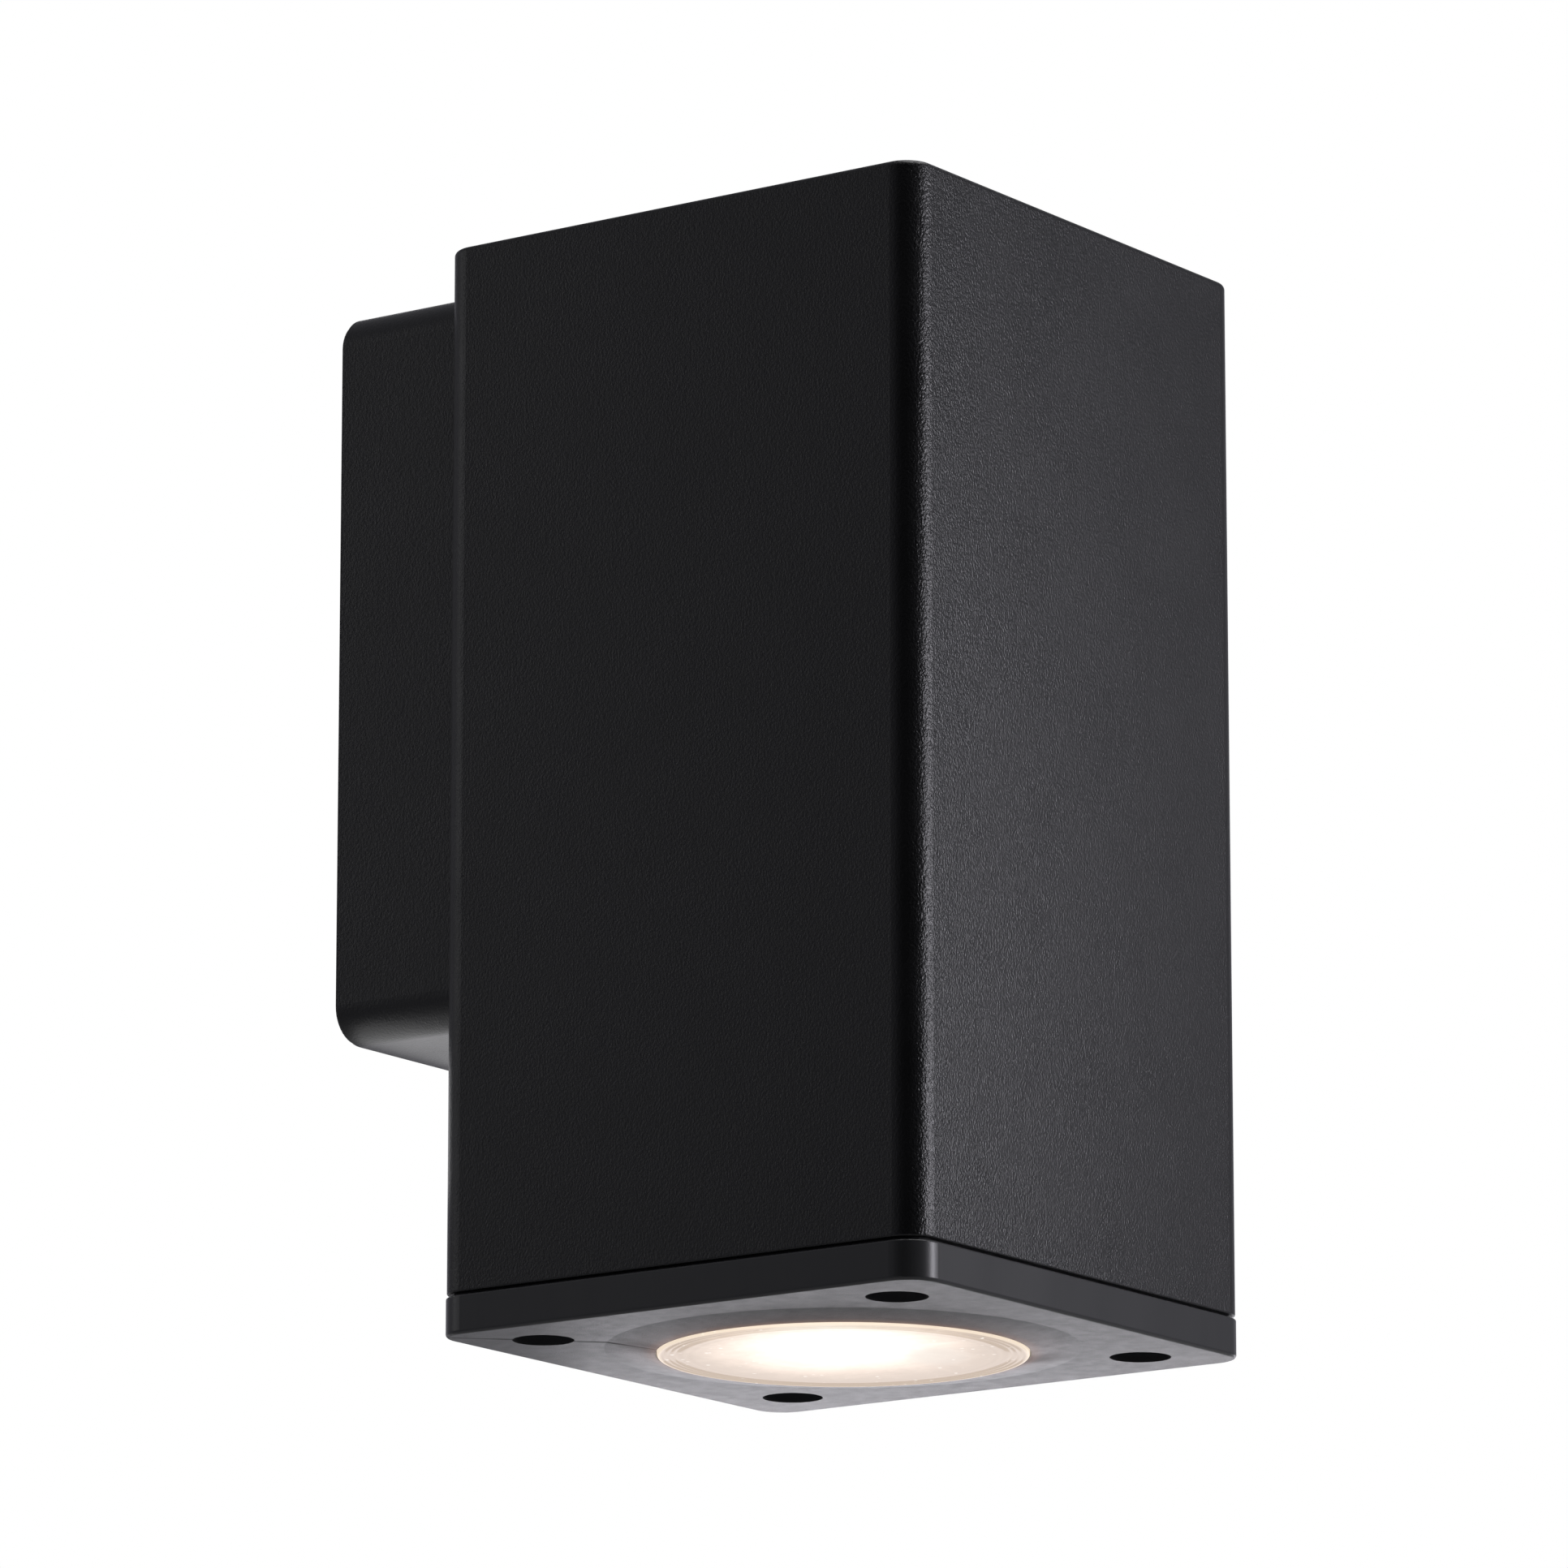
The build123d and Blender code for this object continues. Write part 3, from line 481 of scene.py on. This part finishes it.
SILICONE = rubber("silicone_seal", (0.025, 0.025, 0.027), (0.05, 0.05, 0.052), 0.25, 0.01)
BRASS = polished("brass", (0.62, 0.42, 0.16), (0.86, 0.64, 0.29))
for name in ("bezel_gasket", "lens_gasket", "joint_gasket", "neck_grommet"):
    FINISHES[name] = SILICONE
for name in ("holder_contacts", "terminal_inserts"):
    FINISHES[name] = BRASS
for name, node in nodes.items():
    finish = FINISHES.get(name, ZINC)
    for index in range(len(node.data.materials)):
        node.data.materials[index] = finish


# ---- Pieces in finer mesh than the frame's, all in millimetres until new_piece ----
def new_piece(name, skin, finish, body, replaced):
    """A smooth-shaded mesh, scaled to metres, that stands for a CAD node and rides on a body."""
    vertices, faces = skin
    mesh = bpy.data.meshes.new(name)
    mesh.from_pydata([Vector(v) * MM for v in vertices], [], faces)
    work = bmesh.new()
    work.from_mesh(mesh)
    bmesh.ops.recalc_face_normals(work, faces=work.faces)
    work.to_mesh(mesh)
    work.free()
    mesh.shade_smooth()
    mesh.set_sharp_from_angle(angle=math.radians(35))
    mesh.materials.append(finish)
    piece = bpy.data.objects.new(name, mesh)
    bpy.context.scene.collection.objects.link(piece)
    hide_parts(replaced)
    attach(piece, body)


def stack(rings):
    """Vertices and faces of a skin through rings of equal length, with a point closing each end."""
    vertices = [v for ring in rings for v in ring]
    count = len(rings[0])
    faces = []
    for start in range(0, len(vertices) - count, count):
        for i in range(count):
            j = (i + 1) % count
            faces.append((start + i, start + j, start + count + j, start + count + i))
    for start in (0, len(vertices) - count):
        ring = vertices[start : start + count]
        vertices.append(tuple(sum(v[k] for v in ring) / count for k in range(3)))
        tip = len(vertices) - 1
        faces += [(start + i, start + (i + 1) % count, tip) for i in range(count)]
    return vertices, faces


def hexagon(across, angle):
    """Radius of a hexagon at an angle."""
    local = (angle + math.pi / 6) % (math.pi / 3) - math.pi / 6
    return 0.5 * across / math.cos(local)


def cross(arm, width, angle):
    """Radius of a cross recess at an angle."""
    local = abs((angle + math.pi / 4) % (math.pi / 2) - math.pi / 4)
    return min(0.5 * arm / math.cos(local), 0.5 * width / max(math.sin(local), 1e-6))


CROSS_WIDTH = 0.44  # of a cross recess, as a share of its arm
POINT_R, POINT_DEEP = 0.45, 0.15  # hollow under the recess: share of its radius, and depth
RECESS_CHAMFER = 0.08
HEAD_ROUND = 0.6  # height of the head's rounded edge, as a share of the head's
HEAD_CHAMFER = 0.12  # under the head
NECK = 0.9  # radius under the head, as a share of the shank's
LAND = 0.15  # flat metal beyond the recess's corners
THREAD_START = 0.35  # plain neck under the head
THREAD_DEPTH = 0.55  # as a share of the pitch
THREAD_PLAY = 0.03  # the crests stay this far inside the shank's radius
THREAD_STEPS = 4  # rings in one turn of the thread
RUN_OUT = 1.2  # tapering thread at the end, in turns


def screw_rings(shank_r, length, head_r, head_h, drive, pitch):
    """Rings of a machine screw with a helical thread; the head bears on z = 0 and stands up."""
    kind, size, deep = drive
    if kind == "hex":
        angles = [i * TAU / 36 for i in range(36)]
        recess = [hexagon(size, angle) for angle in angles]
    else:
        width = CROSS_WIDTH * size
        tip = math.atan2(width, size)
        quarter = [0.0, tip, (tip + math.pi / 4) / 2, math.pi / 4]
        quarter += [(math.pi * 3 / 4 - tip) / 2, math.pi / 2 - tip]
        angles = [q * math.pi / 2 + angle for q in range(4) for angle in quarter]
        recess = [cross(size, width, angle) for angle in angles]

    def ring(radii, z):
        return [(r * math.cos(angle), r * math.sin(angle), z) for r, angle in zip(radii, angles)]

    def round_ring(radius, z):
        return ring([radius] * len(angles), z)

    rings = [ring([POINT_R * r for r in recess], head_h - deep - POINT_DEEP)]
    rings += [ring(recess, head_h - deep), ring(recess, head_h - RECESS_CHAMFER)]
    rings.append(ring([r + RECESS_CHAMFER for r in recess], head_h))
    flat = 0.5 * size / math.cos(math.pi / 6) + LAND
    for step in range(9):
        swing = step / 8 * math.pi / 2
        drop = HEAD_ROUND * head_h * (1 - math.cos(swing))
        rings.append(round_ring(flat + (head_r - flat) * math.sin(swing), head_h - drop))
    rings += [round_ring(head_r, HEAD_CHAMFER), round_ring(head_r - HEAD_CHAMFER, 0.0)]
    rings.append(round_ring(shank_r * NECK, 0.0))
    steps = int(length / (pitch / THREAD_STEPS))
    for step in range(steps + 1):
        z = -THREAD_START - (length - THREAD_START) * step / steps
        root = 1 - min(1.0, (length + z) / (RUN_OUT * pitch))
        flanks = []
        for angle in angles:
            phase = (z / pitch - angle / TAU) % 1.0
            cut = THREAD_DEPTH * pitch * max(abs(2 * phase - 1), root)
            flanks.append(shank_r - THREAD_PLAY - cut)
        rings.append(ring(flanks, z))
    return rings


def make_screws(name, seats, way, size, drive, pitch, finish, body, slot_name, replaced):
    """Copies of one screw, each bearing on its seat with its head pointing one way."""
    one, pattern = stack(screw_rings(*size, drive, pitch))
    vertices, faces = [], []
    for index, seat in enumerate(seats):
        turn = way.to_track_quat("Z", "Y").to_matrix() @ Matrix.Rotation(0.7 + 1.3 * index, 3, "Z")
        start = len(vertices)
        vertices += [Vector(seat) + turn @ Vector(v) for v in one]
        faces += [tuple(start + i for i in face) for face in pattern]
    new_piece(name, (vertices, faces), finish, body, replaced)


AX, AY = AXIS_X / MM, AXIS_Y / MM
BASE = BASE_Z / MM
BACK = housing_high.y / MM
PANEL = BACK + 2.4  # inner face of the wall box's front panel
HOLDER_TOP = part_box("lamp_holder")[1].z / MM
LAMP_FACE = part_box("lamp_shell")[0].z / MM
LENS_FACE = lens_low.z / MM
LENS_TOP = lens_high.z / MM
PAIR = (-1, 1)
QUARTERS = (0.0, TAU / 4, TAU / 2, 3 * TAU / 4)
CORNER_PITCH, CORNER_SEAT = 28.65, BASE + 3.4
JOINT_X, JOINT_Z = 22.0, 38.0
BRACKET_PITCH, BRACKET_SEAT = 6.0, BACK - 9.6
HOLDER_PITCH, HOLDER_SEAT = 9.0, HOLDER_TOP + 1.2
RETAINER_PITCH, RETAINER_SEAT = 31.7, BASE + 8.3
EARTH_SEATS = [(14.0, PANEL + 4.8, 16.0)]
FIXING_SEATS = [(0.0, PANEL + 10.2, -17.0)]
BEZEL_SEATS = [
    (AX + i * CORNER_PITCH, AY + j * CORNER_PITCH, CORNER_SEAT) for i in PAIR for j in PAIR
]
JOINT_SEATS = [(i * JOINT_X, PANEL, j * JOINT_Z) for i in PAIR for j in PAIR]
BRACKET_SEATS = [(0.0, BRACKET_SEAT, j * BRACKET_PITCH) for j in PAIR]
HOLDER_SEATS = [(AX, AY + j * HOLDER_PITCH, HOLDER_SEAT) for j in PAIR]
RETAINER_SEATS = [
    (AX + RETAINER_PITCH * math.cos(a), AY + RETAINER_PITCH * math.sin(a), RETAINER_SEAT)
    for a in QUARTERS
]
M4_PITCH, M3_PITCH = 0.7, 0.5
HEX = ("hex", 2.5, 1.3)  # kind, size across, depth
M4_CROSS = ("cross", 3.9, 1.3)
M3_CROSS = ("cross", 2.9, 1.0)
COVER_STEEL = (FINISHES["bezel_screws"], "bezel_cover", "black_steel")
COVER_ZINC = (ZINC, "bezel_cover", "zinc_steel")
FIXED_ZINC = (ZINC, "luminaire", "zinc_steel")
# Sizes are the shank's radius and length, then the head's radius and height.
make_screws("bezel_screws_socket", BEZEL_SEATS, DOWN, (2.0, 14.0, 3.8, 2.2),
            HEX, M4_PITCH, *COVER_STEEL, "bezel_screws")
make_screws("joint_screws_pan", JOINT_SEATS, WALLWARD, (2.0, 9.9, 3.5, 2.4),
            M4_CROSS, M4_PITCH, *FIXED_ZINC, "joint_screws")
make_screws("bracket_screws_pan", BRACKET_SEATS, -WALLWARD, (2.0, 6.5, 3.5, 2.4),
            M4_CROSS, M4_PITCH, *FIXED_ZINC, "bracket_screws")
make_screws("earth_screw_pan", EARTH_SEATS, WALLWARD, (2.0, 5.5, 3.5, 2.4),
            M4_CROSS, M4_PITCH, *FIXED_ZINC, "earth_screw")
make_screws("holder_screws_pan", HOLDER_SEATS, UP, (1.5, 8.0, 2.8, 2.0),
            M3_CROSS, M3_PITCH, *FIXED_ZINC, "holder_screws")
make_screws("retainer_screws_pan", RETAINER_SEATS, UP, (1.5, 5.0, 2.4, 1.7),
            M3_CROSS, M3_PITCH, *COVER_ZINC, "retainer_screws")
make_screws("terminal_fixing_screw_pan", FIXING_SEATS, WALLWARD, (1.5, 12.0, 2.5, 1.6),
            M3_CROSS, M3_PITCH, *FIXED_ZINC, "terminal_fixing_screw")


def circle(radius, z, count):
    """Points round the lamp's axis; z is a height, or a function of x and y from the axis."""
    points = []
    for k in range(count):
        x, y = radius * math.cos(k * TAU / count), radius * math.sin(k * TAU / count)
        points.append((AX + x, AY + y, z(x, y) if callable(z) else z))
    return points


def make_lens():
    """Pressed glass: crowned face, stepped rings near its edge, a bevel, a flange behind."""
    face, flange, top = LENS_FACE, LENS_TOP - 4.0, LENS_TOP
    profile = []
    for step in range(14):
        radius = 2.0 + 1.5 * step
        profile.append((radius, face + 0.04 * (radius / 22.0) ** 2))
    for radius in (22.3, 23.1, 23.9):
        for across, depth in ((0.0, 0.04), (0.12, 0.12), (0.3, 0.12), (0.42, 0.04)):
            profile.append((radius + across, face + depth))
    for step in range(6):
        swing = step / 5 * math.pi / 2
        profile.append((24.65 + 0.3 * math.sin(swing), face + 0.3 * (1 - math.cos(swing))))
    profile += [(24.95, flange - 0.2), (25.05, flange), (28.2, flange), (28.5, flange + 0.3)]
    profile += [(28.5, top - 0.3), (28.2, top), (26.5, top), (26.3, top - 0.3), (2.0, top - 0.3)]
    skin = stack([circle(radius, z, 192) for radius, z in profile])
    new_piece("lens_pressed", skin, FINISHES["lens"], "bezel_cover", "lens")


def make_optic():
    """The lamp's lens plate: a lenslet with a ring of six round it, inside a flat rim."""
    seats = [(0.0, 0.0)]
    seats += [(12.6 * math.cos(k * TAU / 6), 12.6 * math.sin(k * TAU / 6)) for k in range(6)]
    base, step_z, rear = LAMP_FACE + 2.4, LAMP_FACE + 0.75, LAMP_FACE + 3.2

    def lenslets(x, y):
        near = min(math.hypot(x - seat_x, y - seat_y) for seat_x, seat_y in seats)
        return base - max(0.0, 1.7 * (1 - (near / 6.2) ** 2))

    rings = [circle(20.8 * i / 48, lenslets, 144) for i in range(1, 49)]
    rim = [(20.9, base - 1.6), (21.2, step_z), (23.0, step_z), (23.3, step_z + 0.25)]
    rings += [circle(radius, z, 144) for radius, z in (*rim, (23.3, rear), (1.0, rear))]
    finish = FINISHES["lamp_optic"]
    new_piece("lamp_optic_lenslets", stack(rings), finish, "lamp", "lamp_optic")


make_lens()
make_optic()


# ---- Camera ----
AHEAD = Vector((math.sin(VIEW_YAW), math.cos(VIEW_YAW), 0.0))  # level, away from the camera
RIGHT = Vector((AHEAD.y, -AHEAD.x, 0.0))


def make_camera():
    """A long lens below the lantern, looking up at it and at its corner."""
    sight = AHEAD * math.cos(VIEW_PITCH) + UP * math.sin(VIEW_PITCH)
    turn = Matrix((RIGHT, RIGHT.cross(sight), -sight)).transposed()
    data = bpy.data.cameras.new("camera")
    data.lens = CAMERA_LENS
    data.sensor_width = 36.0
    camera = bpy.data.objects.new("camera", data)
    camera.matrix_world = Matrix.Translation(CAMERA_PLACE) @ turn.to_4x4()
    bpy.context.scene.collection.objects.link(camera)
    bpy.context.scene.camera = camera


# ---- Studio ----
def soft_light(name, at, aim, width, height, radiance, tint=(1.0, 1.0, 1.0)):
    """A rectangular softbox whose face has the given brightness."""
    data = bpy.data.lights.new(name, "AREA")
    data.shape = "RECTANGLE"
    data.size, data.size_y = width, height
    data.energy = radiance * math.pi * width * height
    data.color = tint
    light = bpy.data.objects.new(name, data)
    direction = (Vector(aim) - Vector(at)).normalized()
    turn = direction.to_track_quat("-Z", "Y").to_matrix()
    light.matrix_world = Matrix.Translation(at) @ turn.to_4x4()
    light.visible_camera = False
    bpy.context.scene.collection.objects.link(light)


def make_lights():
    """A key for the front, low strips that the undersides mirror, and fill above and behind."""
    near_edge = Vector((housing_low.x, housing_low.y, -0.02))
    far_corner = Vector((bezel_high.x, bezel_high.y, BASE_Z))
    strip = far_corner + 0.06 * AHEAD - 0.016 * UP + 0.055 * RIGHT
    lower = strip - 0.055 * UP
    box_strip = Vector((0.01, 0.0, -0.062))
    key = near_edge + Vector((0.305, -0.515, 0.05))
    soft_light("key_front", key, near_edge, 0.18, 0.30, 9.7, (1.0, 0.98, 1.06))
    soft_light("under_far", strip, strip - AHEAD, 0.17, 0.022, 3.3, (1.0, 0.98, 1.03))
    soft_light("under_low", lower, lower - AHEAD, 0.40, 0.05, 0.48)
    soft_light("box_under", box_strip, box_strip - WALLWARD, 0.09, 0.018, 1.0)
    soft_light("overhead", (0.2, -0.4, 1.6), (0.0, -0.06, 0.0), 1.4, 1.4, 3.0)
    soft_light("back_left", (-0.9, 1.3, 0.5), (0.0, 0.0, 0.0), 0.5, 0.8, 1.0)
    soft_light("back_right", (1.3, 0.9, 0.5), (0.0, 0.0, 0.0), 0.5, 0.8, 1.5)


def make_world():
    """White surroundings for the eye, and for all else a dim studio, bright low on the far side."""
    world = bpy.data.worlds.new("studio")
    bpy.context.scene.world = world
    world.use_nodes = True
    tree = world.node_tree
    tree.nodes.clear()

    def node(kind, **props):
        made = tree.nodes.new(kind)
        for key, value in props.items():
            setattr(made, key, value)
        return made

    direction = node("ShaderNodeTexCoord").outputs["Generated"]

    def lobe(toward, start, full):
        dot = node("ShaderNodeVectorMath", operation="DOT_PRODUCT")
        tree.links.new(direction, dot.inputs[0])
        dot.inputs[1].default_value = Vector(toward).normalized()
        ease = node("ShaderNodeMapRange", interpolation_type="SMOOTHSTEP")
        tree.links.new(dot.outputs["Value"], ease.inputs["Value"])
        ease.inputs["From Min"].default_value = start
        ease.inputs["From Max"].default_value = full
        return ease.outputs[0]

    def blend(share, below, color):
        made = node("ShaderNodeMix", data_type="RGBA")
        tree.links.new(share, made.inputs[0])
        if isinstance(below, tuple):
            made.inputs[6].default_value = (*below, 1.0)
        else:
            tree.links.new(below, made.inputs[6])
        made.inputs[7].default_value = (*color, 1.0)
        return made.outputs[2]

    dark_side = lobe((-0.743, -0.669, 0.1), 0.35, 0.85)
    bright_side = lobe((0.794, 0.565, -0.15), 0.55, 0.93)
    room = blend(dark_side, (0.172, 0.171, 0.192), (0.0, 0.0, 0.0))
    room = blend(bright_side, room, (0.52, 0.512, 0.565))
    seen = node("ShaderNodeLightPath").outputs["Is Camera Ray"]
    final = blend(seen, room, (1.0, 1.0, 1.0))
    background = node("ShaderNodeBackground")
    tree.links.new(final, background.inputs["Color"])
    output = node("ShaderNodeOutputWorld")
    tree.links.new(background.outputs[0], output.inputs["Surface"])


def make_floor():
    """Pale paper, a little brighter to the eye than the studio's light makes it."""
    mesh = bpy.data.meshes.new("floor")
    work = bmesh.new()
    bmesh.ops.create_grid(work, x_segments=8, y_segments=8, size=2.5)
    work.to_mesh(mesh)
    work.free()
    floor = bpy.data.objects.new("floor", mesh)
    floor.location = (0.0, 0.0, -1.2)
    bpy.context.scene.collection.objects.link(floor)
    f = Finish("floor_paper", (0.86, 0.86, 0.85), 0.9)
    f.speckle(0.2, (0.84, 0.84, 0.83), (0.88, 0.88, 0.87), size=300.0)
    f.bump(f.noise(2.0, 3.0), 0.05)
    f.put("Emission Color", (0.62, 0.62, 0.62))
    f.put("Emission Strength", f.node("ShaderNodeLightPath").outputs["Is Camera Ray"])
    mesh.materials.append(f.mat)


make_camera()
make_world()
make_floor()
make_lights()

scene = bpy.context.scene
scene.view_settings.view_transform = "Standard"
scene.view_settings.look = "None"
